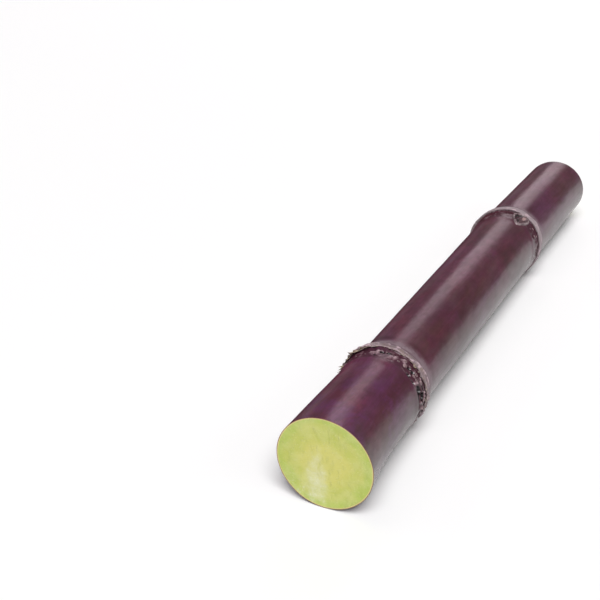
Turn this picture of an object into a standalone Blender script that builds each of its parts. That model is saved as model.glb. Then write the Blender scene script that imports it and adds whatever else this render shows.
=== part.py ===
"""A cut length of purple chewing cane, lying on its side.

Metres, +Z up. The cane lies along Y. Its upper end, as it grew, is the cut at -Y, and its lower end is the cut at
+Y. The origin is the bottom middle of its box. Places along the cane are measured from the upper cut.
"""

import math

import bmesh
import bpy
from mathutils import Matrix, Vector

# Driving dimensions
STALK_LENGTH = 0.340
UPPER_CUT_RADIUS = 0.0191
UPPER_RADIUS = 0.0173
MIDDLE_START_RADIUS = 0.0164
MIDDLE_END_RADIUS = 0.0175
LOWER_RADIUS = 0.0174
FLARE_LENGTH = 0.020
OVAL = 0.012  # share by which the cane is wider and lower than round

# Nodes: the place of each leaf scar, from the upper cut, and where its bud sits round the cane
NODE_PLACES = (0.0620, 0.2360)
BUD_ANGLES = (245.0, 65.0)
SCAR_LEAN = (0.000, 0.0035)  # how far each scar swings along the cane as it goes round

# The shape of a node, from the upper side to the lower: growth ring, root band, scar lip, wax band
GROWTH_RING_BEFORE = 0.0095
GROWTH_RING_HEIGHT = 0.00035
GROWTH_RING_WIDTH = 0.0012
ROOT_BAND_BEFORE = 0.0045
ROOT_BAND_HEIGHT = 0.00045
ROOT_BAND_WIDTH = 0.0035
LIP_HEIGHT = 0.00085
LIP_RISE = 0.0008
LIP_FALL = 0.0065
LIP_PROUD_ANGLE = 150.0  # the lip stands prouder on this side of the cane
LIP_UNEVEN = 0.55

# Buds lie flat on the root band, rounded at the scar and pointed towards the upper end
BUD_LENGTH = 0.0125
BUD_WIDTH = 0.0098
BUD_HEIGHT = 0.0026
BUD_SINK = 0.0004

# The middle line: it swings aside at the upper cut, and turns a little at each node
CUT_SWING = 0.0019
CUT_SWING_LENGTH = 0.016
NODE_TURNS = (-0.008, 0.018)  # metres sideways for each metre along
TURN_ROUNDING = 0.012

# Mesh
SIDES = 32  # the cane rests on the flat of the lowest side
INTERNODE_STEP = 0.009
NODE_STEP = 0.0011
NODE_REACH_UP = 0.013
NODE_REACH_DOWN = 0.012

RIND_COLOUR = (0.085, 0.030, 0.048, 1.0)
FLESH_COLOUR = (0.56, 0.62, 0.17, 1.0)


def clearScene():
    for item in list(bpy.data.objects):
        bpy.data.objects.remove(item, do_unlink=True)


def makeMaterial(name, colour, roughness):
    material = bpy.data.materials.new(name)
    material.use_nodes = True
    shader = material.node_tree.nodes["Principled BSDF"]
    shader.inputs["Base Color"].default_value = colour
    shader.inputs["Roughness"].default_value = roughness
    shader.inputs["Metallic"].default_value = 0.0
    return material


def bump(distance, width):
    return math.exp(-((distance / width) ** 2))


def blend(low, high, value):
    share = min(max((value - low) / (high - low), 0.0), 1.0)
    return share * share * (3 - 2 * share)


def internodeRadius(place):
    """The cane's radius without its nodes."""
    first, second = NODE_PLACES
    upper = UPPER_RADIUS + (UPPER_CUT_RADIUS - UPPER_RADIUS) * math.exp(-place / FLARE_LENGTH)
    share = min(max((place - first) / (second - first), 0.0), 1.0)
    middle = MIDDLE_START_RADIUS + (MIDDLE_END_RADIUS - MIDDLE_START_RADIUS) * share
    radius = upper + (middle - upper) * blend(first - 0.004, first + 0.010, place)
    return radius + (LOWER_RADIUS - radius) * blend(second, second + 0.012, place)


def nodeHeight(before, angle):
    """How far a node stands proud of the cane, at a distance towards the upper end from its scar."""
    height = GROWTH_RING_HEIGHT * bump(before - GROWTH_RING_BEFORE, GROWTH_RING_WIDTH)
    height += ROOT_BAND_HEIGHT * bump(before - ROOT_BAND_BEFORE, ROOT_BAND_WIDTH)
    lip = LIP_HEIGHT * (1 + LIP_UNEVEN * math.cos(angle - math.radians(LIP_PROUD_ANGLE)))
    width = LIP_RISE if before > 0 else LIP_FALL
    return height + lip * bump(before, width)


def surfaceRadius(place, angle):
    radius = internodeRadius(place)
    for scar, bud, lean in zip(NODE_PLACES, BUD_ANGLES, SCAR_LEAN):
        scarHere = scar + lean * math.cos(angle - math.radians(bud))
        radius += nodeHeight(scarHere - place, angle)
    return radius


def runPast(distance):
    """How far past a turn a place is, with the corner rounded over a short stretch."""
    return 0.5 * (distance + math.hypot(distance, TURN_ROUNDING))


def sideways(place):
    shift = CUT_SWING * math.exp(-place / CUT_SWING_LENGTH)
    for scar, turn in zip(NODE_PLACES, NODE_TURNS):
        shift += turn * runPast(place - scar)
    return shift


def restHeight(place):
    """The middle line's height: the upper cut's rim and the lower node both touch the floor."""
    lowerNode = NODE_PLACES[1]
    rim = surfaceRadius(0.0, math.radians(270)) * (1 - OVAL)
    node = surfaceRadius(lowerNode, math.radians(270)) * (1 - OVAL)
    return rim + (node - rim) * place / lowerNode


def surfacePoint(place, angle, out=0.0):
    radius = surfaceRadius(place, angle) + out
    return Vector((
        sideways(place) + radius * (1 + OVAL) * math.cos(angle),
        place,
        restHeight(place) + radius * (1 - OVAL) * math.sin(angle),
    ))


def ringPlaces():
    """Places of the mesh's rings: close together at the nodes and far apart between them."""
    places = [0.0]
    while places[-1] < STALK_LENGTH:
        here = places[-1]
        nearNode = any(scar - NODE_REACH_UP <= here < scar + NODE_REACH_DOWN for scar in NODE_PLACES)
        step = NODE_STEP if nearNode else INTERNODE_STEP
        ahead = [scar - NODE_REACH_UP for scar in NODE_PLACES if scar - NODE_REACH_UP > here]
        nextStop = min(ahead + [STALK_LENGTH])
        there = min(here + step, nextStop)
        if STALK_LENGTH - there < NODE_STEP:
            there = STALK_LENGTH
        places.append(there)
    return places


def makeStalk(rind, flesh):
    """The cane as a loft of rings, closed by a flat cut at each end."""
    shape = bmesh.new()
    halfSide = math.pi / SIDES
    outside = 1 / math.cos(halfSide)  # puts the middle of each flat on the round surface
    rings = []
    for place in ringPlaces():
        ring = []
        for side in range(SIDES):
            angle = 2 * math.pi * side / SIDES - math.pi / 2 + halfSide
            radius = surfaceRadius(place, angle)
            ring.append(shape.verts.new(surfacePoint(place, angle, radius * (outside - 1))))
        rings.append(ring)
    for ring, following in zip(rings, rings[1:]):
        for side in range(SIDES):
            after = (side + 1) % SIDES
            shape.faces.new((ring[side], ring[after], following[after], following[side]))
    for ring in (rings[0], rings[-1]):
        shape.faces.new(ring).material_index = 1
    bmesh.ops.recalc_face_normals(shape, faces=shape.faces[:])
    mesh = bpy.data.meshes.new("cane_stalk")
    shape.to_mesh(mesh)
    shape.free()
    mesh.materials.append(rind)
    mesh.materials.append(flesh)
    stalk = bpy.data.objects.new("cane_stalk", mesh)
    bpy.context.collection.objects.link(stalk)
    return stalk


def makeBud(scar, angle, lean, rind, name):
    """A bud: a flattened ball, drawn out to a point towards the upper end, half sunk in the root band."""
    shape = bmesh.new()
    bmesh.ops.create_uvsphere(shape, u_segments=16, v_segments=10, radius=1.0)
    turn = Matrix.Rotation(math.radians(90), 3, "X")
    bmesh.ops.rotate(shape, verts=shape.verts, cent=(0, 0, 0), matrix=turn)
    middle = scar + lean - 0.0006 - BUD_LENGTH / 2
    for vert in shape.verts:
        towardsTip = (1 - vert.co.y) / 2
        narrowing = 1 - 0.55 * towardsTip ** 1.5
        across = vert.co.x * narrowing * BUD_WIDTH / 2
        place = middle + vert.co.y * BUD_LENGTH / 2
        here = angle + across / surfaceRadius(middle, angle)
        vert.co = surfacePoint(middle, here, vert.co.z * BUD_HEIGHT * narrowing - BUD_SINK)
        vert.co.y = place
    bmesh.ops.recalc_face_normals(shape, faces=shape.faces[:])
    mesh = bpy.data.meshes.new(name)
    shape.to_mesh(mesh)
    shape.free()
    mesh.materials.append(rind)
    bud = bpy.data.objects.new(name, mesh)
    bpy.context.collection.objects.link(bud)
    bud.hide_render = True
    bud.display_type = "WIRE"
    return bud


def joinBud(stalk, bud):
    union = stalk.modifiers.new("join_" + bud.name, "BOOLEAN")
    union.operation = "UNION"
    union.object = bud


def setOrigin(stalk, helpers):
    """Moves the meshes so that the bottom middle of the cane's box is the origin."""
    bpy.context.view_layer.update()
    evaluated = stalk.evaluated_get(bpy.context.evaluated_depsgraph_get())
    corners = [Vector(corner) for corner in evaluated.bound_box]
    low = Vector([min(corner[axis] for corner in corners) for axis in range(3)])
    high = Vector([max(corner[axis] for corner in corners) for axis in range(3)])
    shift = Vector((-(low.x + high.x) / 2, -(low.y + high.y) / 2, -low.z))
    for item in [stalk] + helpers:
        item.data.transform(Matrix.Translation(shift))


def main():
    clearScene()
    rind = makeMaterial("purple_rind", RIND_COLOUR, 0.38)
    flesh = makeMaterial("cane_flesh", FLESH_COLOUR, 0.62)
    stalk = makeStalk(rind, flesh)
    buds = []
    for number, (scar, angle, lean) in enumerate(zip(NODE_PLACES, BUD_ANGLES, SCAR_LEAN), start=1):
        bud = makeBud(scar, math.radians(angle), lean, rind, f"bud_shape_{number}")
        joinBud(stalk, bud)
        buds.append(bud)
    setOrigin(stalk, buds)
    stalk.data.shade_smooth()
    stalk.data.set_sharp_from_angle(angle=math.radians(40))


main()
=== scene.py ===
import math

import bpy
from mathutils import Matrix, Vector


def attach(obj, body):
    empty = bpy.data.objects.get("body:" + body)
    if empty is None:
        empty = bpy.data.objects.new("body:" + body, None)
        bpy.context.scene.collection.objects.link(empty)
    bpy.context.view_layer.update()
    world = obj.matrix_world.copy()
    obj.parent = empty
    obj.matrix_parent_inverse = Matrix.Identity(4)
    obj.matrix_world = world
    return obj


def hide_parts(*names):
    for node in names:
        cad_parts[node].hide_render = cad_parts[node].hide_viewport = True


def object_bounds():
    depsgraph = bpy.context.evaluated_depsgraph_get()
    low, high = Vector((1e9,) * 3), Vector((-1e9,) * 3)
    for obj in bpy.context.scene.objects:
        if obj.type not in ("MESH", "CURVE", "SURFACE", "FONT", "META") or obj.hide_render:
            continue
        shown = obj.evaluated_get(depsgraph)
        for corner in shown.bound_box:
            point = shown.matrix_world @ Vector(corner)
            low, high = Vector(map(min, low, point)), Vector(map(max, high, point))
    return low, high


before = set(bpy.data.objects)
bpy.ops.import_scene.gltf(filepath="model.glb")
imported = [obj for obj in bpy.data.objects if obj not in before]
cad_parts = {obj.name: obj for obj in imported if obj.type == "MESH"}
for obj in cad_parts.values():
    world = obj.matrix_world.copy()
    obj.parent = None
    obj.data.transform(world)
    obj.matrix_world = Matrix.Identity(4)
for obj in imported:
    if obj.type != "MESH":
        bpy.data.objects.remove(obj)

cadLow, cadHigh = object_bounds()

# A cut length of purple chewing cane. It lies along Y, with its upper cut, as it grew, at the low end.
# Places run along the cane from the upper cut, and "before" is how far a place is short of a scar.
# Angles run round the cane from +X up towards +Z. Pairs marked "each node" hold the upper node's value first.

nodeNames = ("upper", "lower")

canePlan = {
    "length": cadHigh.y - cadLow.y,
    "cutRadius": 0.0191,
    "upperRadius": 0.0173,
    "middleRadii": (0.0164, 0.0175),  # just past the upper scar and at the lower one
    "lowerRadius": 0.0174,
    "flare": 0.020,
    "upperBlend": (-0.004, 0.010),  # where the radius changes over, from the upper scar
    "lowerBlend": 0.012,
    "oval": 0.012,  # share by which the cane is wider and lower than round
    "scars": (0.0620, 0.2360),  # each node
    "budAngles": (245.0, 65.0),  # each node
    "leans": (0.0, 0.0035),  # each node: how far the scar swings along the cane
    "ringBefore": 0.0095,
    "ringHeight": 0.00022,
    "ringWidth": 0.0019,
    "rootBefore": 0.0045,
    "rootHeight": 0.00045,
    "rootWidth": 0.0035,
    "lipHeight": 0.00085,
    "lipRise": 0.0008,
    "lipFall": 0.0065,
    "lipProud": 150.0,
    "lipUneven": 0.55,
    "swing": 0.0019,
    "swingLength": 0.016,
    "turns": (-0.008, 0.018),  # each node: metres sideways for each metre past it
    "turnRounding": 0.012,
    "lowerRest": 0.0180,  # height of the middle line at the lower node, where the cane touches the floor
    "floorEdge": (0.965, 0.90),  # how near to straight down a point is where it starts to touch the floor
    "waviness": 0.00030,
    "waveRound": 1.1,
    "waveAlong": 26.0,
    "waveScale": 1.6,
    "cutRoughness": 0.00022,
    "cutGrain": 260.0,
    "pitDepths": (0.00110, 0.00035),  # each node
    "pitScale": 265.0,
    "pitEdge": (0.42, 0.20),
    "tornAngle": 2.0,  # the pits are deepest on this side
    "tornEdge": (0.72, 0.97),
    "lumpHeights": (0.00060, 0.00022),  # each node
    "lumpScale": 260.0,
    "lumpEdge": (0.55, 0.72),
    "lumpAngle": 86.0,  # and the lumps are thickest here, on the top, where their pale pink also serves as a painted highlight
    "rootBand": (0.0010, 0.0022, 0.0070, 0.0088),  # before a scar, where pits and lumps fade in and out
}


class Wiring:
    # puts nodes into a tree; a value may be a number, a tuple or another node's output
    def __init__(self, tree):
        self.tree = tree

    def feed(self, socket, value):
        if isinstance(value, bpy.types.NodeSocket):
            self.tree.links.new(value, socket)
        else:
            socket.default_value = value

    def add(self, kind, feeds=None, **settings):
        node = self.tree.nodes.new(kind)
        for name, value in settings.items():
            setattr(node, name, value)
        for name, value in (feeds or {}).items():
            self.feed(next(s for s in node.inputs if s.name == name and s.enabled), value)
        return node

    def out(self, kind, feeds=None, **settings):
        node = self.add(kind, feeds, **settings)
        return next(s for s in node.outputs if s.enabled)

    def math(self, operation, *values, kind="ShaderNodeMath"):
        node = self.add(kind, operation=operation)
        for socket, value in zip(node.inputs, values):
            self.feed(socket, value)
        return node.outputs[0]

    def chain(self, operation, values):
        total = values[0]
        for value in values[1:]:
            total = self.math(operation, total, value)
        return total

    def plus(self, *values):
        return self.chain("ADD", values)

    def times(self, *values):
        return self.chain("MULTIPLY", values)

    def minus(self, first, second):
        return self.math("SUBTRACT", first, second)

    def over(self, first, second):
        return self.math("DIVIDE", first, second)

    def bump(self, distance, width):
        share = self.over(distance, width)
        return self.math("EXPONENT", self.times(share, share, -1.0))

    def range(self, value, low, high, toLow=0.0, toHigh=1.0, smooth=True):
        style = "SMOOTHSTEP" if smooth else "LINEAR"
        feeds = {"Value": value, "From Min": low, "From Max": high, "To Min": toLow, "To Max": toHigh}
        return self.out("ShaderNodeMapRange", feeds, interpolation_type=style)

    def band(self, value, low, lowFull, highFull, high):
        # 0 below low, 1 from lowFull to highFull, and 0 again above high
        return self.times(self.range(value, low, lowFull), self.range(value, high, highFull))

    def facing(self, angle, degrees):
        # 1 on the side of the cane at that angle, and -1 on the far side
        return self.math("COSINE", self.minus(angle, math.radians(degrees)))

    def between(self, share, first, second, sort="FLOAT"):
        return self.out("ShaderNodeMix", {"Factor": share, "A": first, "B": second}, data_type=sort)

    def vector(self, x, y, z):
        return self.out("ShaderNodeCombineXYZ", {"X": x, "Y": y, "Z": z})

    def circle(self, angle):
        return self.math("COSINE", angle), self.math("SINE", angle)

    def split(self, vector):
        node = self.add("ShaderNodeSeparateXYZ", {"Vector": vector})
        return node.outputs["X"], node.outputs["Y"], node.outputs["Z"]

    def noise(self, vector, scale, detail=2.0, roughness=0.5, distortion=0.0):
        feeds = {"Vector": vector, "Scale": scale, "Detail": detail, "Roughness": roughness,
                 "Distortion": distortion}
        return self.out("ShaderNodeTexNoise", feeds)

    def wobble(self, vector, scale, amount, **more):
        # noise that swings evenly about nothing
        return self.times(self.minus(self.noise(vector, scale, **more), 0.5), amount)

    def spots(self, vector, scale):
        return self.out("ShaderNodeTexVoronoi", {"Vector": vector, "Scale": scale})

    def move(self, geometry, position):
        return self.out("GeometryNodeSetPosition", {"Geometry": geometry, "Position": position})

    def group(self, tree, feeds):
        return self.add(tree.bl_idname.replace("Tree", "Group"), feeds, node_tree=tree)

    def store(self, geometry, values, sort="FLOAT", domain="POINT"):
        for name, value in values.items():
            feeds = {"Geometry": geometry, "Name": name, "Value": value}
            geometry = self.out("GeometryNodeStoreNamedAttribute", feeds, data_type=sort, domain=domain)
        return geometry

    def stored(self, name, sort="FLOAT"):
        return self.out("GeometryNodeInputNamedAttribute", {"Name": name}, data_type=sort)

    def read(self, name):
        return self.add("ShaderNodeAttribute", attribute_name=name).outputs["Fac"]

    def results(self, values):
        # the tree's outputs, by name
        for name, value in values.items():
            self.tree.interface.new_socket(name=name, in_out="OUTPUT", socket_type=outputKinds[value.type])
        self.add("NodeGroupOutput", values)
        return self.tree


inputKinds = {float: "NodeSocketFloat", int: "NodeSocketInt", tuple: "NodeSocketVector"}
outputKinds = {"VALUE": "NodeSocketFloat", "VECTOR": "NodeSocketVector", "GEOMETRY": "NodeSocketGeometry"}


def newTree(name, inputs, kind="GeometryNodeTree"):
    # a tree with named inputs, each at its first value
    tree = bpy.data.node_groups.new(name, kind)
    for socket, value in inputs.items():
        made = tree.interface.new_socket(name=socket, in_out="INPUT", socket_type=inputKinds[type(value)])
        made.default_value = value
    wiring = Wiring(tree)
    return wiring, wiring.add("NodeGroupInput").outputs


def nodeSizes(shape):
    # what a piece at a node can be given: its place there, what differs between nodes, and the rest
    eachNode = {name: pair[0] for name, pair in shape["eachNode"].items()}
    return {"Scar": 0.0, "Facing": 0.0, "Lean": 0.0, **eachNode, **shape["sizes"]}


def endTree(w, geometry, material):
    smooth = w.out("GeometryNodeSetShadeSmooth", {"Geometry": geometry})
    real = w.out("GeometryNodeRealizeInstances", {"Geometry": smooth})
    return w.results({"Geometry": w.out("GeometryNodeSetMaterial", {"Geometry": real, "Material": material})})


def newObject(name, data):
    made = bpy.data.objects.new(name, data)
    bpy.context.scene.collection.objects.link(made)
    return made


def addPiece(name, tree, sizes):
    # runs a tree on an empty piece and keeps the plain mesh that comes out
    maker = newObject(name + "_maker", bpy.data.meshes.new(name + "_start"))
    modifier = maker.modifiers.new("shape", "NODES")
    modifier.node_group = tree
    for socket, value in sizes.items():
        modifier[tree.interface.items_tree[socket].identifier] = value
    bpy.context.view_layer.update()
    graph = bpy.context.evaluated_depsgraph_get()
    shaped = maker.evaluated_get(graph)
    mesh = bpy.data.meshes.new_from_object(shaped, preserve_all_data_layers=True, depsgraph=graph)
    mesh.name = name
    maker.modifiers.clear()
    bpy.data.objects.remove(maker, do_unlink=True)
    piece = newObject(name, mesh)
    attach(piece, "root")
    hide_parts("cane_stalk")
    print("made", name, len(mesh.polygons), "faces")


def addAtNodes(name, tree, shape):
    # one piece at each node
    for index, which in enumerate(nodeNames):
        sizes = {"Scar": canePlan["scars"][index], "Facing": math.radians(canePlan["budAngles"][index]),
                 "Lean": canePlan["leans"][index]}
        sizes.update({socket: pair[index] for socket, pair in shape["eachNode"].items()})
        addPiece(name + "_" + which, tree, sizes)


# The cane's surface, which every piece is laid on.

def plainRadius(w, place):
    plan = canePlan
    first, second = plan["scars"]
    fall = w.math("EXPONENT", w.times(place, -1 / plan["flare"]))
    upper = w.plus(w.times(fall, plan["cutRadius"] - plan["upperRadius"]), plan["upperRadius"])
    middle = w.range(place, first, second, *plan["middleRadii"], smooth=False)
    start, end = plan["upperBlend"]
    radius = w.between(w.range(place, first + start, first + end), upper, middle)
    return w.between(w.range(place, second, second + plan["lowerBlend"]), radius, plan["lowerRadius"])


def nodeSwelling(w, before, angle):
    plan = canePlan
    ring = w.times(w.bump(w.minus(before, plan["ringBefore"]), plan["ringWidth"]), plan["ringHeight"])
    root = w.times(w.bump(w.minus(before, plan["rootBefore"]), plan["rootWidth"]), plan["rootHeight"])
    uneven = w.times(w.facing(angle, plan["lipProud"]), plan["lipUneven"])
    lip = w.times(w.plus(1.0, uneven), plan["lipHeight"])
    width = w.between(w.math("GREATER_THAN", before, 0.0), plan["lipFall"], plan["lipRise"])
    return w.plus(ring, root, w.times(lip, w.bump(before, width)))


def pitsAndLumps(w, place, angle, skin):
    # how far each point is into a pit and onto a lump
    plan = canePlan
    first, second = plan["scars"]
    torn = w.range(w.facing(angle, plan["tornAngle"]), *plan["tornEdge"])
    torn = w.times(torn, w.range(place, first + 0.02, second - 0.02, 1.0, 0.3))  # less at the lower node
    pits = w.range(w.minus(w.spots(skin, plan["pitScale"]), w.times(torn, 0.20)), *plan["pitEdge"])
    pits = w.times(pits, w.plus(1.0, w.times(torn, 0.6)))
    # more lumps on the top, where their pale pink also serves as a painted highlight
    crowned = w.range(w.facing(angle, plan["lumpAngle"]), 0.80, 0.97)
    lumps = w.plus(w.noise(skin, plan["lumpScale"]), w.times(crowned, 0.07))
    return pits, w.range(lumps, *plan["lumpEdge"])


def middleSwing(w, place):
    # how far the middle line is to the side
    plan = canePlan
    swing = w.times(w.math("EXPONENT", w.times(place, -1 / plan["swingLength"])), plan["swing"])
    for scar, turn in zip(plan["scars"], plan["turns"]):
        past = w.minus(place, scar)
        rounded = w.math("SQRT", w.plus(w.times(past, past), plan["turnRounding"] ** 2))
        swing = w.plus(swing, w.times(w.plus(past, rounded), turn / 2))
    return swing


def offFloor(w, angle):
    # 0 right under the cane, where it rests, and 1 elsewhere
    return w.range(w.facing(angle, -90.0), *canePlan["floorEdge"])


def buildSurfaceTree():
    plan = canePlan
    w, given = newTree("caneSurface", {"Place": 0.0, "Angle": 0.0, "Out": 0.0})
    place, angle = given["Place"], given["Angle"]
    radius = plainRadius(w, place)
    befores = []
    for scar, bud, lean in zip(plan["scars"], plan["budAngles"], plan["leans"]):
        before = w.minus(w.plus(w.times(w.facing(angle, bud), lean), scar), place)
        radius = w.plus(radius, nodeSwelling(w, before, angle))
        befores.append(before)
    cosine, sine = w.circle(angle)
    # slow unevenness, drawn out along the cane
    grain = w.vector(w.times(cosine, plan["waveRound"]), w.times(place, plan["waveAlong"]),
                     w.times(sine, plan["waveRound"]))
    radius = w.plus(radius, w.wobble(grain, plan["waveScale"], plan["waviness"]))
    # the root band of each node is pitted and lumpy
    skin = w.vector(w.times(cosine, plan["upperRadius"]), place, w.times(sine, plan["upperRadius"]))
    pits, lumps = pitsAndLumps(w, place, angle, skin)
    pit, lump = 0.0, 0.0
    for before, depth, height in zip(befores, plan["pitDepths"], plan["lumpHeights"]):
        band = w.band(before, *plan["rootBand"])
        pitHere, lumpHere = w.times(pits, band), w.times(lumps, band)
        radius = w.plus(radius, w.times(pitHere, -depth), w.times(lumpHere, height))
        pit = w.plus(pit, w.times(pitHere, depth / plan["pitDepths"][0]))
        lump = w.plus(lump, w.times(lumpHere, height / plan["lumpHeights"][0]))
    reach = w.math("MAXIMUM", w.plus(radius, given["Out"]), 0.0)
    across = w.times(reach, cosine, 1 + plan["oval"])
    high = w.times(reach, sine, 1 - plan["oval"])
    # the upper cut's rim and the lower node both touch the floor
    cutHeight = plan["cutRadius"] * (1 - plan["oval"])
    lowerHeight = plan["lowerRest"] * (1 - plan["oval"])
    rest = w.plus(w.times(place, (lowerHeight - cutHeight) / plan["scars"][1]), cutHeight)
    shiftX = cadHigh.x - plan["swing"] - plan["cutRadius"] * (1 + plan["oval"])
    shiftZ = cadHigh.z - 2 * cutHeight
    # the cut ends aren't quite flat
    atCut = w.math("MAXIMUM", w.math("LESS_THAN", place, 0.00001),
                   w.math("GREATER_THAN", place, plan["length"] - 0.00001))
    saw = w.wobble(w.vector(across, place, high), plan["cutGrain"], plan["cutRoughness"], detail=3.0)
    along = w.plus(place, w.times(atCut, saw), cadLow.y)
    position = w.vector(w.plus(across, middleSwing(w, place), shiftX), along, w.plus(high, rest, shiftZ))
    return w.results({"Position": position, "Radius": radius, "Before Upper Scar": befores[0],
                      "Before Lower Scar": befores[1], "Pit": pit, "Lump": lump})


caneSurface = buildSurfaceTree()
print("surface rule ready")

seamAngle = -90.0  # tubes and faces are closed along the underside
seamGap = 0.0000005


def newSheet(w, rows, sides):
    # a flat sheet to roll up, with the share along it and the share round it
    feeds = {"Size X": 1.0, "Size Y": 1.0, "Vertices X": rows, "Vertices Y": w.math("ADD", sides, 1.0)}
    x, y, _ = w.split(w.out("GeometryNodeInputPosition"))
    return w.out("GeometryNodeMeshGrid", feeds), w.plus(x, 0.5), w.plus(y, 0.5)


def seamTurn(w, roundShare):
    return w.plus(w.times(roundShare, 2 * math.pi), math.radians(seamAngle))


def onSurface(w, place, angle, out=0.0):
    return w.group(caneSurface, {"Place": place, "Angle": angle, "Out": out}).outputs


def rollUp(w, sheet, position, inside=None, bakeMap=None):
    # lays the sheet out and closes its seams; inside says which faces have to be turned round
    if bakeMap is not None:
        sheet = w.store(sheet, {"OFBake": bakeMap}, "FLOAT2", "CORNER")
    joined = w.out("GeometryNodeMergeByDistance", {"Geometry": w.move(sheet, position), "Distance": seamGap})
    if inside is None:
        return joined
    return w.out("GeometryNodeFlipFaces", {"Mesh": joined, "Selection": inside})


def scatter(w, count, place, angle, out):
    # loose points on the cane's surface
    line = w.out("GeometryNodeMeshLine", {"Count": count}, mode="OFFSET")
    return w.move(line, onSurface(w, place, angle, out)["Position"])


def newCone(w, corners, top):
    # a cone 1 high and 1 in radius at the foot, to be shaped
    cone = w.out("GeometryNodeMeshCone", {"Vertices": corners, "Side Segments": 5, "Fill Segments": 1,
                                          "Radius Top": top, "Radius Bottom": 1.0, "Depth": 1.0})
    return cone, *w.split(w.out("GeometryNodeInputPosition"))


def chanceFrom(w, seed, index):
    # each step past the seed gives its own random value
    def chance(low, high, step):
        feeds = {"Min": low, "Max": high, "ID": index, "Seed": w.math("ADD", seed, step)}
        return w.out("FunctionNodeRandomValue", feeds, data_type="FLOAT")
    return chance


def scarPlace(w, angle, given):
    leaning = w.times(w.math("COSINE", w.minus(angle, given["Facing"])), given["Lean"])
    return w.plus(leaning, given["Scar"])


# Effects that the materials share.

def buildFibreGroup():
    # fine lines that run along the cane
    inputs = {"Vector": (0.0, 0.0, 0.0), "Lines": 900.0, "Stretch": 0.02}
    w, given = newTree("lengthwiseFibre", inputs, "ShaderNodeTree")
    x, y, z = w.split(given["Vector"])
    drawn = w.vector(x, w.times(y, given["Stretch"]), z)
    broad = w.noise(drawn, given["Lines"], detail=3.0, roughness=0.6)
    thin = w.noise(drawn, w.times(given["Lines"], 2.7))
    both = w.plus(w.times(broad, 0.6), w.times(thin, 0.4))
    return w.results({"Mask": w.range(both, 0.38, 0.62), "Height": both})


def buildMottleGroup():
    # soft patches with ragged edges
    inputs = {"Vector": (0.0, 0.0, 0.0), "Scale": 60.0, "Cover": 0.5, "Edge": 0.12,
              "Stretch": (1.0, 1.0, 1.0)}
    w, given = newTree("mottling", inputs, "ShaderNodeTree")
    drawn = w.math("MULTIPLY", given["Vector"], given["Stretch"], kind="ShaderNodeVectorMath")
    patch = w.noise(drawn, given["Scale"], detail=5.0, roughness=0.62, distortion=0.4)
    bare = w.minus(1.0, given["Cover"])
    mask = w.range(patch, w.minus(bare, given["Edge"]), w.plus(bare, given["Edge"]))
    return w.results({"Mask": mask})


lengthwiseFibre = buildFibreGroup()
mottling = buildMottleGroup()
print("shared effects ready")


def newMaterial(name, plain):
    material = bpy.data.materials.new(name)
    material.use_nodes = True
    w = Wiring(material.node_tree)
    shader = material.node_tree.nodes["Principled BSDF"]
    for socket, value in plain.items():
        shader.inputs[socket].default_value = value
    return material, w, shader


def fibres(w, here, lines, stretch):
    group = w.group(lengthwiseFibre, {"Vector": here, "Lines": lines, "Stretch": stretch})
    return group.outputs["Mask"], group.outputs["Height"]


def patches(w, here, kinds):
    # a mask for each kind of patch, from its scale, cover and soft edge, and its stretch if it has one
    masks = {}
    for name, kind in kinds.items():
        feeds = dict(zip(("Scale", "Cover", "Edge", "Stretch"), kind))
        masks[name] = w.group(mottling, {"Vector": here, **feeds}).outputs["Mask"]
    return masks


def startPaint(name, look):
    material, w, shader = newMaterial(name, look["plain"])
    here = w.add("ShaderNodeTexCoord").outputs["Object"]
    return material, w, shader, here, patches(w, here, look["patches"])


def layered(w, look, first, layers):
    # paints each layer over the last: how much of it shows, and its colour's name
    colour = look[first]
    for share, tint in layers:
        colour = w.between(share, colour, look[tint], "RGBA")
    return colour


def finish(w, shader, colour, roughness, height, depth, strength=0.8):
    w.feed(shader.inputs["Base Color"], colour)
    w.feed(shader.inputs["Roughness"], roughness)
    bump = w.out("ShaderNodeBump", {"Height": height, "Distance": depth, "Strength": strength})
    w.feed(shader.inputs["Normal"], bump)


# The rind: the whole skin between the cuts.

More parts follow.
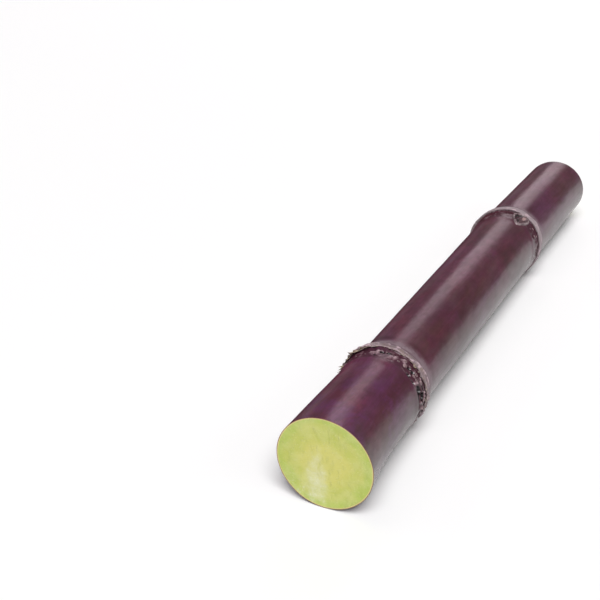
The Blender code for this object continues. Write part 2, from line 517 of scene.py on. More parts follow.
rindLook = {
    "purple": (0.100, 0.020, 0.044, 1.0),
    "dark": (0.044, 0.012, 0.017, 1.0),
    "red": (0.110, 0.024, 0.036, 1.0),
    "violet": (0.100, 0.024, 0.072, 1.0),
    "brown": (0.072, 0.030, 0.026, 1.0),
    # redder tint, and painted light: brighter on the side that faces the light
    "litBlush": (0.240, 0.018, 0.080, 1.0),
    "plum": (0.105, 0.022, 0.092, 1.0),  # bluish patches near the upper cut
    "bloom": (0.300, 0.240, 0.270, 1.0),
    "dustAndReflection": (0.105, 0.092, 0.090, 1.0),  # greyish wax film on the lower right flank, partly a painted reflection of the pale floor
    "wax": (0.225, 0.165, 0.186, 1.0),
    "rootBand": (0.050, 0.018, 0.025, 1.0),
    # painted shade: near black in the pits
    "pit": (0.012, 0.008, 0.009, 1.0),
    # pale pink of the lumps, partly a painted highlight on the top
    "lump": (0.500, 0.345, 0.380, 1.0),
    "cutRind": (0.560, 0.500, 0.220, 1.0),
    "cutSkin": (0.300, 0.170, 0.090, 1.0),
    "patches": {  # scale, cover, soft edge, stretch
        "dark": (46.0, 0.50, 0.20),
        "red": (70.0, 0.44, 0.16, (1.0, 0.22, 1.0)),
        "brown": (78.0, 0.46, 0.08, (1.0, 0.40, 1.0)),
        "violet": (52.0, 0.42, 0.12, (1.0, 0.22, 1.0)),
        "plum": (95.0, 0.46, 0.08, (1.0, 0.60, 1.0)),
        "rubbed": (150.0, 0.40, 0.10, (1.0, 0.50, 1.0)),
        "flecks": (430.0, 0.45, 0.16, (1.0, 0.60, 1.0)),
        "bloom": (120.0, 0.46, 0.20, (1.0, 0.22, 1.0)),
        "waxWear": (330.0, 0.62, 0.25),
        "waxRound": (120.0, 0.50, 0.20, (1.0, 4.0, 1.0)),
    },
    "shares": {"red": 0.70, "brown": 0.55, "violet": 0.72, "rubbed": 0.30, "flecks": 0.40, "lines": 0.30},
    "plumFades": (0.060, 0.020),  # places between which the plum patches come in, towards the cut
    "wornWax": 0.0125,  # how far past the upper scar the wax ends in a dark edge
    "roughness": 0.34,
    "dullRoughness": 0.88,  # on the flank that lost its gloss
    "waxRoughness": 0.60,
    "gloss": 0.88,
    "dullGloss": 0.04,
    "fibreDepth": 0.00006,
    "fibres": (900.0, 0.02),  # lines and stretch
    "plain": {"Coat Roughness": 0.25, "IOR": 1.45, "Specular IOR Level": 0.02,
              "Specular Tint": (1.0, 0.62, 0.76, 1.0)},
}


def waxAndRoot(w, here, spot):
    # wax below each scar, root band above it
    ragged = w.wobble(here, 420.0, 0.0032, detail=3.0)
    waxMask, rootMask = 0.0, 0.0
    for name in ("beforeUpperScar", "beforeLowerScar"):
        before = w.plus(w.read(name), ragged)
        fade = w.times(w.range(before, -0.0120, -0.0060), 0.75)
        fade = w.plus(fade, w.times(w.bump(w.plus(before, 0.0072), 0.0016), 0.55))
        waxMask = w.plus(waxMask, w.times(fade, w.range(before, 0.0006, -0.0002)))
        rootMask = w.plus(rootMask, w.band(before, -0.0002, 0.0006, 0.0080, 0.0095))
    worn = w.times(w.between(spot["waxWear"], 0.50, 1.0), w.between(spot["waxRound"], 0.6, 1.0))
    return w.times(waxMask, worn), rootMask


def paintRind():
    look = rindLook
    material, w, shader, here, spot = startPaint("purple rind", look)
    lines, relief = fibres(w, here, *look["fibres"])
    share = {name: w.times(spot.get(name, lines), amount) for name, amount in look["shares"].items()}
    nearCut = w.range(w.read("place"), *look["plumFades"], 0.10, 0.75)
    edge = w.times(w.bump(w.plus(w.read("beforeUpperScar"), look["wornWax"]), 0.0016), 0.55)
    waxMask, rootMask = waxAndRoot(w, here, spot)
    body = layered(w, look, "purple", (
        (spot["dark"], "dark"),
        (share["red"], "red"),
        (share["brown"], "brown"),
        # painted light: the side facing the light is painted brighter and redder, most near the upper cut
        (w.times(w.read("litBlush"), w.between(spot["red"], 0.25, 1.0)), "litBlush"),
        (share["violet"], "violet"),
        (w.times(spot["plum"], nearCut), "plum"),
        (share["rubbed"], "dark"),
        (share["flecks"], "dark"),
        (share["lines"], "dark"),
        (w.plus(w.times(spot["bloom"], 0.07), w.times(relief, 0.03)), "bloom"),
        # painted reflection: grey from the pale floor on the lower right flank, over a real wax film
        (w.times(w.read("dustAndReflectionFlank"), w.between(spot["bloom"], 0.35, 0.60)), "dustAndReflection"),
        (w.times(edge, w.between(spot["dark"], 0.4, 1.0)), "dark"),
        (w.times(rootMask, 0.6), "rootBand"),
        (waxMask, "wax"),
        # pale pink lumps, partly a painted highlight on the top
        (w.times(w.read("lump"), 0.8), "lump"),
        # painted shade: near black in the pits
        (w.range(w.read("pit"), 0.25, 0.7), "pit"),
    ))
    # where the rind is cut through: its skin first, then the pale rind
    over = w.read("overCut")
    cut = w.range(over, 0.00002, 0.00012)
    section = w.between(w.range(over, 0.00016, 0.00034), look["cutSkin"], look["cutRind"], "RGBA")
    body = w.between(cut, body, section, "RGBA")
    dull = w.read("dullFlank")
    rough = w.plus(look["roughness"], w.times(spot["dark"], 0.06), w.times(lines, 0.05))
    rough = w.between(dull, rough, look["dullRoughness"])
    rough = w.between(w.math("MAXIMUM", waxMask, cut), rough, look["waxRoughness"])
    gloss = w.between(w.math("MAXIMUM", w.times(waxMask, 0.9), cut), look["gloss"], look["dullGloss"])
    gloss = w.times(gloss, w.between(dull, 1.0, look["dullGloss"]), w.between(spot["bloom"], 1.0, 0.68),
                    w.between(spot["flecks"], 1.0, 0.74))
    w.feed(shader.inputs["Coat Weight"], gloss)
    height = w.plus(relief, w.times(w.noise(here, 2600.0), 0.35), w.times(waxMask, 0.8))
    finish(w, shader, body, rough, height, look["fibreDepth"])
    return material


rindShape = {
    "sides": 240,
    "cutFold": 0.0006,  # how far the skin turns in over each cut
    "foldStep": 0.00015,
    "farStep": 0.0016,
    "nearStep": 0.00026,
    "closeAbove": 0.0125,
    "closeBelow": 0.0105,
    "dull": (165.0, 0.40, 0.84),  # the flank without gloss: its angle, and how it fades in
    # the lower right flank, where the grey is partly a painted reflection of the floor
    "dustAndReflectionSide": (-35.0, 0.35, 0.95),
    "litBlush": (118.0, 0.45, 0.95),  # the redder side, also painted brighter where it faces the light
    "litBlushEnds": (0.075, 0.045),
}


def ringStops():
    # stretches of the cane and the ring spacing in each: fine at the folds and the nodes
    shape, length = rindShape, canePlan["length"]
    fold = shape["cutFold"]
    stops = [(-fold, shape["foldStep"]), (fold, shape["farStep"])]
    for scar in canePlan["scars"]:
        stops.append((scar - shape["closeAbove"], shape["nearStep"]))
        stops.append((scar + shape["closeBelow"], shape["farStep"]))
    stops.append((length - fold, shape["foldStep"]))
    stops.append((length + fold, 0.0))
    return stops


def spaceRings(w, along, stops, counts):
    # the share of the whole run at each ring, along a curve that is flat where the rings are close together
    spacing = w.add("ShaderNodeFloatCurve", {"Value": along})
    points = spacing.mapping.curves[0].points
    start, whole = stops[0][0], stops[-1][0] - stops[0][0]
    done = 0.0
    for stop, count in zip(stops[1:], counts[:-1]):
        done += count
        points.new(done / sum(counts), (stop[0] - start) / whole)
    for point in points:
        point.handle_type = "VECTOR"
    spacing.mapping.update()
    return w.times(spacing.outputs[0], whole)


def halvesMap(w, run, roundShare, fold):
    # bake map: the two halves of the tube side by side, so that its detail is as fine both ways
    half = canePlan["length"] / 2
    onFace = w.out("GeometryNodeFieldOnDomain", {"Value": run}, domain="FACE", data_type="FLOAT")
    second = w.math("GREATER_THAN", onFace, half)
    stretch = w.over(w.plus(w.minus(run, w.times(second, half)), fold), half + 0.002)
    mapX = w.plus(w.times(roundShare, 0.49), w.times(second, 0.505), 0.0025)
    return w.vector(mapX, w.plus(w.times(stretch, 0.79), 0.01), 0.0)


def buildRindTree():
    shape, length = rindShape, canePlan["length"]
    stops = ringStops()
    counts = [(there[0] - here[0]) / here[1] for here, there in zip(stops, stops[1:])]
    sizes = {"Rings": round(sum(counts)) + 1, "Sides": shape["sides"], "Fold": shape["cutFold"]}
    w, given = newTree("rindShape", sizes)
    sheet, along, roundShare = newSheet(w, given["Rings"], given["Sides"])
    run = w.minus(spaceRings(w, along, stops, counts), given["Fold"])
    over = w.math("MAXIMUM", w.math("MAXIMUM", w.times(run, -1.0), w.minus(run, length)), 0.0)
    place = w.math("MINIMUM", w.math("MAXIMUM", run, 0.0), length)
    angle = seamTurn(w, roundShare)
    surface = onSurface(w, place, angle, w.times(over, -1.0))
    side = {}
    for name in ("dull", "dustAndReflectionSide", "litBlush"):
        degrees, low, high = shape[name]
        side[name] = w.range(w.facing(angle, degrees), low, high)
    # the painted lit side, strongest near the upper cut
    litBlush = w.times(side["litBlush"], w.range(place, *shape["litBlushEnds"], 0.30, 1.0))
    sheet = w.store(sheet, {
        "place": place, "overCut": over, "pit": surface["Pit"], "lump": surface["Lump"],
        "beforeUpperScar": surface["Before Upper Scar"], "beforeLowerScar": surface["Before Lower Scar"],
        "dullFlank": side["dull"], "dustAndReflectionFlank": side["dustAndReflectionSide"], "litBlush": litBlush})
    tube = rollUp(w, sheet, surface["Position"], bakeMap=halvesMap(w, run, roundShare, given["Fold"]))
    return endTree(w, tube, paintRind())


addPiece("cane_rind", buildRindTree(), {})


# The cut faces.

fleshLook = {
    "flesh": (0.420, 0.455, 0.084, 1.0),
    "edge": (0.350, 0.445, 0.062, 1.0),
    "cream": (0.535, 0.505, 0.120, 1.0),
    "pale": (0.620, 0.610, 0.290, 1.0),
    "fibre": (0.540, 0.550, 0.220, 1.0),
    "shade": (0.300, 0.330, 0.060, 1.0),
    # dried, chalky flesh, and the whitish painted highlight of the splash
    "driedAndGlint": (0.610, 0.610, 0.400, 1.0),
    "patches": {  # scale, cover, soft edge, stretch
        "pale": (210.0, 0.46, 0.16),
        "cloud": (80.0, 0.50, 0.12),
        "combed": (340.0, 0.40, 0.10, (1.6, 1.0, 0.55)),
        "speck": (560.0, 0.42, 0.12),
    },
    "roughness": 0.46,
    "sawDepth": 0.00016,
    "glintSplash": (-0.0035, -0.0085),  # middle of the whitish splash, a painted highlight, from the middle of the cut
    "glintSplashShape": (2.6, 0.40),  # how fast it fades across and upwards
    "plain": {"Coat Roughness": 0.3},
}


def paintFlesh():
    look = fleshLook
    material, w, shader, here, spot = startPaint("cane flesh", look)
    x, _, z = w.split(here)
    ragged = w.plus(w.read("inward"), w.wobble(here, 130.0, 0.0110, detail=4.0))
    # a whitish splash, a painted highlight with a dried look, with chalky flesh towards its side of the rim
    offX = w.minus(x, cadHigh.x - canePlan["cutRadius"] + look["glintSplash"][0])
    offZ = w.minus(z, canePlan["cutRadius"] + look["glintSplash"][1])
    acrossFade, upFade = look["glintSplashShape"]
    reach = w.math("SQRT", w.plus(w.times(offX, offX, acrossFade), w.times(offZ, offZ, upFade)))
    reach = w.plus(reach, w.wobble(here, 300.0, 0.0110, detail=4.0))
    glintSplash = w.times(w.range(reach, 0.0100, 0.0010), w.between(spot["speck"], 0.55, 1.0),
                     w.between(spot["combed"], 1.0, 0.6))
    chalk = w.times(w.range(ragged, 0.0085, 0.0035), w.range(z, 0.0150, 0.0080), w.range(x, 0.004, -0.002))
    strands = w.range(w.spots(here, 900.0), 0.32, 0.16)
    colour = layered(w, look, "flesh", (
        (w.range(ragged, 0.0055, 0.0120), "cream"),
        (w.times(spot["cloud"], 0.40), "cream"),
        (w.times(w.range(ragged, 0.0048, 0.0006), 0.75), "edge"),
        (w.times(spot["pale"], 0.28), "pale"),
        (w.times(spot["combed"], 0.22), "shade"),
        # painted highlight: the whitish splash
        (glintSplash, "driedAndGlint"),
        (w.times(chalk, spot["speck"], 0.55), "driedAndGlint"),
        (w.times(strands, 0.35), "fibre"),
    ))
    wet = w.times(w.range(spot["cloud"], 0.3, 1.0), 0.5)
    w.feed(shader.inputs["Coat Weight"], w.plus(0.06, w.times(wet, 0.5)))
    height = w.plus(w.noise(here, 1500.0, detail=4.0, roughness=0.6), w.times(strands, 0.5),
                    w.times(spot["combed"], -0.8), w.times(spot["pale"], 0.6))
    rough = w.plus(look["roughness"], w.times(spot["pale"], 0.14))
    finish(w, shader, colour, rough, height, look["sawDepth"])
    return material


faceShape = {"sizes": {"Place": 0.0, "Rings": 56, "Sides": 240, "Fold": rindShape["cutFold"]},
             "mapScale": 23.0}


def buildFaceTree():
    w, given = newTree("cutFace", faceShape["sizes"])
    sheet, share, roundShare = newSheet(w, given["Rings"], given["Sides"])
    angle = seamTurn(w, roundShare)
    whole = w.minus(onSurface(w, given["Place"], angle)["Radius"], given["Fold"])
    inward = w.times(w.minus(1.0, share), whole)
    out = w.times(w.plus(inward, given["Fold"]), -1.0)
    position = onSurface(w, given["Place"], angle, out)["Position"]
    x, _, z = w.split(position)
    scale = faceShape["mapScale"]
    mapped = w.vector(w.plus(w.times(x, scale), 0.5), w.times(z, scale), 0.0)
    farEnd = w.math("GREATER_THAN", given["Place"], canePlan["length"] / 2)
    face = rollUp(w, w.store(sheet, {"inward": inward}), position, inside=farEnd, bakeMap=mapped)
    return endTree(w, face, paintFlesh())


faceTree = buildFaceTree()
for which, place in zip(nodeNames, (0.0, canePlan["length"])):
    addPiece(which + "_cut_face", faceTree, {"Place": place})


# Leaf scars: the low torn collar where each leaf was joined.

scarLook = {
    "pale": (0.320, 0.258, 0.280, 1.0),
    "mauve": (0.165, 0.105, 0.125, 1.0),
    # pink: a painted highlight on the crown, and the colour of the knobs
    "pink": (0.500, 0.365, 0.405, 1.0),
    "tan": (0.430, 0.340, 0.220, 1.0),
    # dark torn edge, and painted shade under the lip
    "dark": (0.060, 0.030, 0.032, 1.0),
    "patches": {"tan": (300.0, 0.45, 0.15), "mauve": (200.0, 0.56, 0.13, (1.0, 5.0, 1.0))},
    "roughness": 0.62,
    "depth": 0.00018,
    "fibres": (1500.0, 0.25),
    "plain": {},
}


def paintScar():
    look = scarLook
    material, w, shader, here, spot = startPaint("leaf scar", look)
    grain, relief = fibres(w, here, *look["fibres"])
    lip = w.read("lip")  # 1 at the torn edge, 0 where the collar meets the rind
    worn, crown = w.read("worn"), w.read("crown")
    # the dark is partly the torn edge and partly painted shade on the step under the overhanging lip
    torn = w.times(w.range(lip, 0.15, 1.0), w.between(spot["tan"], 0.55, 0.95))
    torn = w.between(worn, w.read("step"), torn)
    colour = layered(w, look, "pale", (
        (w.times(spot["mauve"], worn, 0.88), "mauve"),
        (w.times(spot["tan"], worn, 0.30), "tan"),
        (w.times(torn, w.minus(1.0, w.times(crown, 0.8))), "dark"),
        (w.times(grain, worn, 0.26), "dark"),
        # painted highlight: pink on the crown's lip
        (w.times(crown, w.range(lip, 0.05, 0.6), w.between(spot["tan"], 0.9, 0.3)), "pink"),
        (w.times(w.range(w.read("knob"), 0.35, 0.9), 0.75), "pink"),
    ))
    rough = w.plus(look["roughness"], w.times(spot["tan"], 0.15))
    finish(w, shader, colour, rough, w.plus(relief, w.times(spot["tan"], 0.6)), look["depth"], 0.9)
    return material


collarShape = {
    "sizes": {"Profile": 22, "Sides": 340},
    "tearScale": 11.0,
    "knobScale": 430.0,
    "foot": 0.0006,  # how far the underside runs back past the scar
    "crownEdge": (0.74, 0.96),
    "closedCrown": 0.75,  # how much less of a lip there is on the crown, where it is closed and its pink is a painted highlight
    "eachNode": {
        "Width": (0.0052, 0.0054),
        "Height": (0.00050, 0.00095),
        "Overhang": (0.0013, 0.0010),
        "Raggedness": (1.7, 0.7),
        "Knobs": (0.00075, 0.00016),
        "Worn": (1.0, 0.28),  # how far the pale bloom has rubbed off
    },
}


def buildCollarTree():
    shape = collarShape
    w, given = newTree("scarCollar", nodeSizes(shape))
    sheet, run, roundShare = newSheet(w, given["Profile"], given["Sides"])
    angle = seamTurn(w, roundShare)
    cosine, sine = w.circle(angle)
    tears = w.wobble(w.vector(cosine, given["Scar"], sine), shape["tearScale"], given["Raggedness"],
                     detail=4.0, roughness=0.7)
    torn = w.math("MAXIMUM", w.plus(1.0, w.times(tears, 3.0)), 0.05)
    # the crown, on the top, is where the lip is closed and a pink highlight is painted
    crown = w.range(w.facing(angle, canePlan["lumpAngle"]), *shape["crownEdge"])
    crown = w.times(crown, given["Worn"])
    overhang = w.times(given["Overhang"], torn, w.minus(1.0, w.times(crown, shape["closedCrown"])))
    swell = w.noise(w.vector(sine, given["Scar"], cosine), 3.0)
    height = w.times(given["Height"], w.plus(0.5, swell))
    width = w.times(given["Width"], w.plus(0.75, w.times(swell, 0.5)))
    # from the far foot up over the lip and back under it
    along = w.times(width, w.minus(1.0, w.range(run, 0.0, 0.60, smooth=False)))
    along = w.minus(along, w.times(overhang, w.range(run, 0.40, 0.66)))
    along = w.plus(along, w.times(w.plus(overhang, shape["foot"]), w.range(run, 0.70, 1.0)))
    out = w.minus(w.times(1.35, w.range(run, 0.0, 0.26)), 0.35)
    out = w.minus(out, w.times(0.35, w.range(run, 0.40, 0.60)))
    out = w.times(height, w.minus(out, w.times(1.6, w.range(run, 0.66, 0.95))))
    scar = scarPlace(w, angle, given)
    place = w.plus(scar, along)
    spot = w.vector(w.times(cosine, 0.017), place, w.times(sine, 0.017))
    knobs = w.range(w.noise(spot, shape["knobScale"]), 0.45, 0.70)
    knob = w.times(knobs, w.band(run, 0.12, 0.40, 0.62, 0.74))
    out = w.plus(out, w.times(knob, given["Knobs"]))
    # the lip hangs out level past the scar, where the cane drops away under it
    drop = w.minus(onSurface(w, scar, angle)["Radius"], onSurface(w, place, angle)["Radius"])
    held = w.times(w.math("MAXIMUM", drop, 0.0), w.band(run, 0.36, 0.52, 0.72, 0.95))
    out = w.between(offFloor(w, angle), -0.0006, w.plus(out, held))
    # the step under the lip is where shade is painted
    sheet = w.store(sheet, {"lip": w.range(run, 0.50, 0.70), "step": w.range(run, 0.80, 0.93), "knob": knob,
                            "worn": given["Worn"], "crown": crown})
    collar = rollUp(w, sheet, onSurface(w, place, angle, out)["Position"], inside=True)
    return endTree(w, collar, paintScar())


addAtNodes("leaf_scar", buildCollarTree(), collarShape)


# Scar fringe: torn papery ends of the leaf base, curling up towards the upper cut.

fringeShape = {
    "sizes": {"Length": 0.0026, "Tongue Width": 0.00125, "Thickness": 0.00016, "Curl": 0.30},
    "tuftAngle": 150.0,
    "eachNode": {
        "Count": (130, 50),
        "Size": (1.0, 0.5),
        "Tuft": (2.3, 1.3),  # how much longer it grows on the far side
        "Seed": (4, 14),
    },
}
fringeLook = {
    "pale": scarLook["pale"],
    "tan": scarLook["tan"],
    "dark": scarLook["dark"],
    "patches": {"pale": (500.0, 0.50, 0.20)},
    "roughness": 0.6,
    "depth": 0.00005,
    "plain": {},
}


def paintFringe():
    look = fringeLook
    material, w, shader, here, spot = startPaint("papery fringe", look)
    colour = layered(w, look, "tan", (
        (spot["pale"], "pale"),
        (w.times(w.range(w.read("tip"), 0.25, 0.0), 0.5), "dark"),
    ))
    rough = w.plus(look["roughness"], w.times(spot["pale"], 0.2))
    finish(w, shader, colour, rough, w.noise(here, 2400.0), look["depth"])
    return material


def buildTongue(w, given):
    # one tongue: a flattened cone that leans towards -Y and curls outwards
    cone, x, y, z = newCone(w, 6, 0.08)
    body = w.math("SQRT", w.minus(1.0, w.times(z, 0.9)))
    lift = w.times(z, z, given["Curl"], given["Length"])
    position = w.vector(w.times(x, given["Tongue Width"], body), w.times(z, given["Length"], -1.0),
                        w.plus(w.times(y, given["Thickness"]), lift))
    return w.move(w.store(cone, {"tip": z}), position)


def buildFringeTree():
    shape = fringeShape
    w, given = newTree("scarFringe", nodeSizes(shape))
    index = w.out("GeometryNodeInputIndex")
    chance = chanceFrom(w, given["Seed"], index)
    angle = w.over(w.plus(index, w.times(chance(0.0, 1.0, 1), 2.5)), given["Count"])
    angle = w.times(angle, 2 * math.pi)
    place = w.minus(scarPlace(w, angle, given), chance(-0.0008, 0.0002, 2))
    points = scatter(w, given["Count"], place, angle, w.between(offFloor(w, angle), -0.0040, 0.0001))
    facing = w.times(w.plus(w.facing(angle, shape["tuftAngle"]), 1.0), 0.5)
    tuft = w.between(w.math("POWER", facing, 3.0), 1.0, given["Tuft"])
    spot = w.vector(w.math("COSINE", angle), given["Scar"], w.math("SINE", angle))
    clump = w.range(w.noise(spot, 5.0), 0.35, 0.65)
    size = w.times(given["Size"], chance(0.35, 1.15, 3), w.between(clump, 0.45, 1.0), tuft)
    turn = w.vector(chance(-0.22, 0.16, 4), w.minus(math.pi / 2, angle), 0.0)
    scale = w.vector(w.times(size, chance(0.6, 1.6, 5)), size, size)
    laid = w.out("GeometryNodeInstanceOnPoints", {"Points": points, "Instance": buildTongue(w, given),
                                                  "Rotation": turn, "Scale": scale})
    twist = w.vector(0.0, 0.0, chance(-0.9, 0.9, 6))
    feeds = {"Instances": laid, "Rotation": twist, "Local Space": True}
    return endTree(w, w.out("GeometryNodeRotateInstances", feeds), paintFringe())


addAtNodes("scar_fringe", buildFringeTree(), fringeShape)


# Root eyes: small dimpled domes in the root band, where roots would start.

eyeShape = {
    "sizes": {"Row": 30, "Rows": 2},
    "firstRow": 0.0028,
    "rowStep": 0.0026,
    "smallAngle": 110.0,  # the spots are smaller round here
    "smallEdge": (0.55, 0.95),
    "smallness": 0.55,
    "budRoom": 0.36,  # no spots this near to the bud, in radians
    "eachNode": {"Width": (0.00120, 0.00100), "Height": (0.00042, 0.00026), "Seed": (9, 19)},
}
eyeLook = {
    "rim": (0.340, 0.225, 0.235, 1.0),
    "skin": (0.080, 0.034, 0.042, 1.0),
    "core": (0.018, 0.011, 0.011, 1.0),
    "patches": {"worn": (420.0, 0.50, 0.12)},
    "roughness": 0.34,
    "depth": 0.00004,
    "plain": {"Coat Weight": 0.4, "Coat Roughness": 0.2},
}


def paintEyes():
    look = eyeLook
    material, w, shader, here, spot = startPaint("root eyes", look)
    reach = w.read("reach")
    worn = spot["worn"]
    colour = layered(w, look, "skin", (
        (w.times(w.range(reach, 0.98, 0.55), w.between(worn, 0.12, 1.0)), "rim"),
        (w.times(w.range(reach, 0.40, 0.15), w.between(worn, 1.0, 0.5)), "core"),
    ))
    rough = w.plus(look["roughness"], w.times(worn, 0.2))
    finish(w, shader, colour, rough, w.noise(here, 3000.0), look["depth"], 0.7)
    return material


def buildDome(w, given):
    # one eye: a low dome with a dimple
    cone, x, y, z = newCone(w, 9, 0.0)
    reach = w.minus(1.0, z)  # 1 at the foot, 0 in the middle
    dome = w.minus(1.0, w.times(reach, reach, reach))
    dimple = w.times(w.bump(reach, 0.30), 0.60)
    high = w.times(given["Height"], w.minus(w.times(dome, w.minus(1.0, dimple)), 0.30))
    position = w.vector(w.times(x, given["Width"]), w.times(y, given["Width"], 0.85), high)
    return w.move(w.store(cone, {"reach": reach}), position)


def buildEyesTree():
    shape = eyeShape
    w, given = newTree("rootEyes", nodeSizes(shape))
    index = w.out("GeometryNodeInputIndex")
    chance = chanceFrom(w, given["Seed"], index)
    row = w.math("FLOOR", w.over(index, given["Row"]))
    angle = w.plus(w.minus(index, w.times(row, given["Row"])), w.times(row, 0.5), chance(-0.28, 0.28, 1))
    angle = w.times(w.over(angle, given["Row"]), 2 * math.pi)
    back = w.plus(shape["firstRow"], w.times(row, shape["rowStep"]), chance(-0.0005, 0.0005, 2))
    place = w.minus(scarPlace(w, angle, given), back)
    out = w.between(offFloor(w, angle), -0.0020, 0.0)
    points = scatter(w, w.math("MULTIPLY", given["Row"], given["Rows"]), place, angle, out)
    small = w.times(w.range(w.facing(angle, shape["smallAngle"]), *shape["smallEdge"]), shape["smallness"])
    fromBud = w.math("ABSOLUTE", w.math("WRAP", w.minus(angle, given["Facing"]), math.pi, -math.pi))
    # stored first, because the points are counted again once some are gone
    points = w.store(points, {"turn": w.vector(0.0, w.minus(math.pi / 2, angle), 0.0)}, "FLOAT_VECTOR")
    points = w.store(points, {"size": w.times(chance(0.45, 1.20, 3), w.minus(1.0, small)),
                              "squash": chance(0.60, 1.25, 5), "fromBud": fromBud})
    near = w.math("LESS_THAN", w.stored("fromBud"), shape["budRoom"])
    points = w.out("GeometryNodeDeleteGeometry", {"Geometry": points, "Selection": near}, domain="POINT")
    size = w.stored("size")
    scale = w.vector(size, w.times(size, w.stored("squash")), size)
    feeds = {"Points": points, "Instance": buildDome(w, given), "Rotation": w.stored("turn", "FLOAT_VECTOR"),
             "Scale": scale}
    return endTree(w, w.out("GeometryNodeInstanceOnPoints", feeds), paintEyes())


addAtNodes("root_eyes", buildEyesTree(), eyeShape)


# Buds: a shield-shaped scale with a pale rim, pointing to the upper cut.

budShape = {
    "sizes": {"Length": 0.0136, "Width": 0.0112, "Height": 0.0026, "Foot": 0.0004, "Rings": 40, "Sides": 96},
    "eachNode": {},
    "sink": 0.0004,
    "narrowing": 0.60,
    "heart": (0.30, 0.02),  # where the inner scale sits, to the side and up
    "heartWidth": 0.27,
    "gapReach": 0.48,
    "gapWidth": 0.22,
}
budLook = {
    "scale": (0.090, 0.042, 0.050, 1.0),
    "rim": (0.330, 0.255, 0.265, 1.0),
    # near black: painted shade in the hollow, also used for the dark fibre lines
    "gap": (0.016, 0.010, 0.010, 1.0),
    "heart": (0.420, 0.270, 0.260, 1.0),
    "patches": {"worn": (360.0, 0.50, 0.20)},
    "roughness": 0.42,
    "depth": 0.00010,
    "fibres": (1300.0, 0.15),
    "plain": {"Coat Weight": 0.3, "Coat Roughness": 0.25},
}


def paintBuds():
    look = budLook
    material, w, shader, here, spot = startPaint("bud scales", look)
    grain, relief = fibres(w, here, *look["fibres"])
    worn = spot["worn"]
    rim = w.band(w.read("reach"), 0.70, 0.80, 0.90, 1.02)
    heart = w.range(w.read("heart"), 0.45, 0.85)
    colour = layered(w, look, "scale", (
        (w.times(grain, 0.4), "gap"),
        (w.times(rim, w.between(worn, 0.10, 1.0)), "rim"),
        # painted shade in the bud's hollow
        (w.range(w.read("gap"), 0.22, 0.60), "gap"),
        (w.times(heart, w.between(worn, 0.45, 1.0)), "heart"),
    ))
    rough = w.plus(look["roughness"], w.times(worn, 0.15))
    finish(w, shader, colour, rough, w.plus(relief, w.times(worn, 0.5)), look["depth"])
    return material


def buildBudTree():
    shape = budShape
    w, given = newTree("budScale", nodeSizes(shape))
    sheet, reach, roundShare = newSheet(w, given["Rings"], given["Sides"])
    turn = w.times(roundShare, 2 * math.pi)
    # up is 1 at the tip and -1 at the foot
    up = w.times(w.math("COSINE", turn), reach)
    side = w.times(w.math("SINE", turn), reach)
    narrow = w.minus(1.0, w.times(w.range(up, -0.40, 1.0, smooth=False), shape["narrowing"]))
    across = w.times(side, narrow, given["Width"], 0.5)
    along = w.times(w.plus(up, 1.0), given["Length"], 0.5)
    folds = w.vector(w.times(side, 1.2), w.times(up, 1.2), given["Scar"])
    rimPlace = w.plus(reach, w.wobble(folds, 2.4, 0.16, detail=3.0))
    shell = w.range(reach, 1.0, 0.84)
    # the hollow is widest on the side away from +X, and the inner scale sits low on the other side
    offSide, offUp = w.plus(side, shape["heart"][0]), w.plus(up, shape["heart"][1])
    fromHeart = w.math("SQRT", w.plus(w.times(offSide, offSide), w.times(offUp, offUp, 0.55)))
    heart = w.bump(fromHeart, shape["heartWidth"])
    openSide = w.range(w.minus(side, w.times(up, 0.4)), -0.45, 0.35, 0.35, 1.0)
    gap = w.times(w.bump(w.minus(rimPlace, shape["gapReach"]), shape["gapWidth"]),
                  w.minus(1.0, w.times(heart, 0.9)), openSide)
    ridges = w.vector(w.times(side, 3.5), w.times(up, 0.7), given["Scar"])
    hollow = w.plus(w.times(gap, 0.62), w.times(w.wobble(ridges, 3.0, 0.55), w.range(reach, 1.0, 0.8)))
    taper = w.minus(1.0, w.times(w.range(up, 0.1, 1.0), 0.30))
    high = w.plus(w.times(shell, 0.66), w.times(heart, 0.42), w.times(hollow, -1.0))
    high = w.minus(w.times(given["Height"], taper, high), shape["sink"])
    place = w.minus(w.plus(given["Scar"], given["Lean"], given["Foot"]), along)  # its foot is past the scar
    radius = onSurface(w, place, given["Facing"])["Radius"]
    angle = w.plus(given["Facing"], w.over(across, radius))
    sheet = w.store(sheet, {"reach": rimPlace, "gap": gap, "heart": heart})
    bud = rollUp(w, sheet, onSurface(w, place, angle, high)["Position"], inside=True)
    return endTree(w, bud, paintBuds())


addAtNodes("bud", buildBudTree(), budShape)


# Floor, room, lamps and camera.

stageLook = {"size": 40.0, "plain": {"Base Color": (0.93, 0.93, 0.93, 1.0), "Roughness": 0.7}}


def layFloor():
    mesh = bpy.data.meshes.new("floor")
    half = stageLook["size"] / 2
    mesh.from_pydata([(-half, -half, 0), (half, -half, 0), (half, half, 0), (-half, half, 0)], [], [range(4)])
    mesh.materials.append(newMaterial("pale floor", stageLook["plain"])[0])
    floor = newObject("floor", mesh)


white = (1.0, 1.0, 1.0)
lightPlan = {
    "room": (1.0, 1.0, 1.0, 1.0),
    "roomStrength": 0.10,
    "backdropStrength": 0.93,  # how pale the room looks beyond the floor
    "sunFrom": (0.26, -0.50, 0.82),
    "sunAngle": 38.0,
    "sunStrength": 3.35,
    "boxes": {  # centre, rise of the long side, size, power, colour
        "backBox": ((-0.42, 1.70, 1.05), 112.0, (0.64, 1.45), 5.0, (1.0, 0.86, 0.92)),
        "frontBox": ((0.50, -1.80, 1.15), 68.0, (0.60, 1.40), 3.0, white),
        "rightBox": ((1.70, -0.20, 1.25), 90.0, (1.60, 0.50), 2.5, white),
        "leftBox": ((-1.70, -0.20, 1.25), 90.0, (1.60, 0.50), 2.0, white),
    },
}


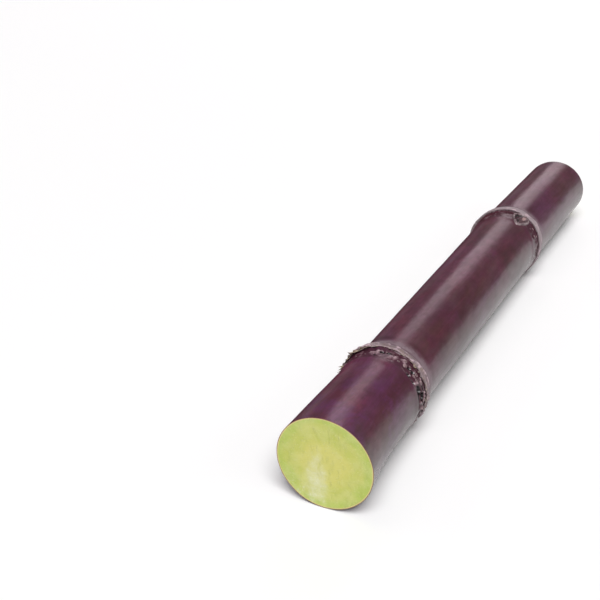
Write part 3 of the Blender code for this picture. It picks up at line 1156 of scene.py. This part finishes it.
def makeRoom():
    plan = lightPlan
    world = bpy.data.worlds.new("soft room")
    world.use_nodes = True
    w = Wiring(world.node_tree)
    seen = w.add("ShaderNodeLightPath").outputs["Is Camera Ray"]
    sockets = world.node_tree.nodes["Background"].inputs
    w.feed(sockets["Color"], plan["room"])
    w.feed(sockets["Strength"], w.between(seen, plan["roomStrength"], plan["backdropStrength"]))
    bpy.context.scene.world = world


def turnTowards(holder, upward, sight):
    # a lamp shines down its own Z axis; its Y axis follows upward as closely as it can
    z = Vector(sight).normalized()
    x = Vector(upward).cross(z).normalized()
    y = z.cross(x)
    holder.matrix_world = Matrix((x, y, z)).transposed().to_4x4()


def hangSun():
    lamp = bpy.data.lights.new("overhead", "SUN")
    lamp.angle = math.radians(lightPlan["sunAngle"])
    lamp.energy = lightPlan["sunStrength"]
    turnTowards(newObject("overhead", lamp), (0.0, 1.0, 0.0), lightPlan["sunFrom"])


def hangBoxes():
    for name, (centre, rise, size, power, colour) in lightPlan["boxes"].items():
        lamp = bpy.data.lights.new(name, "AREA")
        lamp.shape = "RECTANGLE"
        lamp.size, lamp.size_y = size
        lamp.energy = power
        lamp.color = colour
        holder = newObject(name, lamp)
        turnTowards(holder, (math.cos(math.radians(rise)), 0.0, math.sin(math.radians(rise))), centre)
        holder.matrix_world.translation = Vector(centre)
        holder.visible_camera = False


cameraPlan = {
    "azimuth": 26.53,
    "elevation": 25.22,
    "distance": 0.5034,
    "lens": 63.06,
    "sensor": 36.0,
    "sees": (0.01, 50.0),
    "aim": (-0.0683, -0.0497, 0.0190),
}


def placeCamera():
    plan = cameraPlan
    lens = bpy.data.cameras.new("camera")
    lens.lens = plan["lens"]
    lens.sensor_width = plan["sensor"]
    lens.clip_start, lens.clip_end = plan["sees"]
    camera = newObject("camera", lens)
    azimuth, elevation = math.radians(plan["azimuth"]), math.radians(plan["elevation"])
    back = Vector((math.sin(azimuth) * math.cos(elevation), -math.cos(azimuth) * math.cos(elevation),
                   math.sin(elevation)))
    camera.location = Vector(plan["aim"]) + back * plan["distance"]
    camera.rotation_euler = (-back).to_track_quat("-Z", "Y").to_euler()
    bpy.context.scene.camera = camera


layFloor()
makeRoom()
hangSun()
hangBoxes()
placeCamera()
bpy.context.scene.view_settings.view_transform = "Standard"
print("stage, light and camera ready")
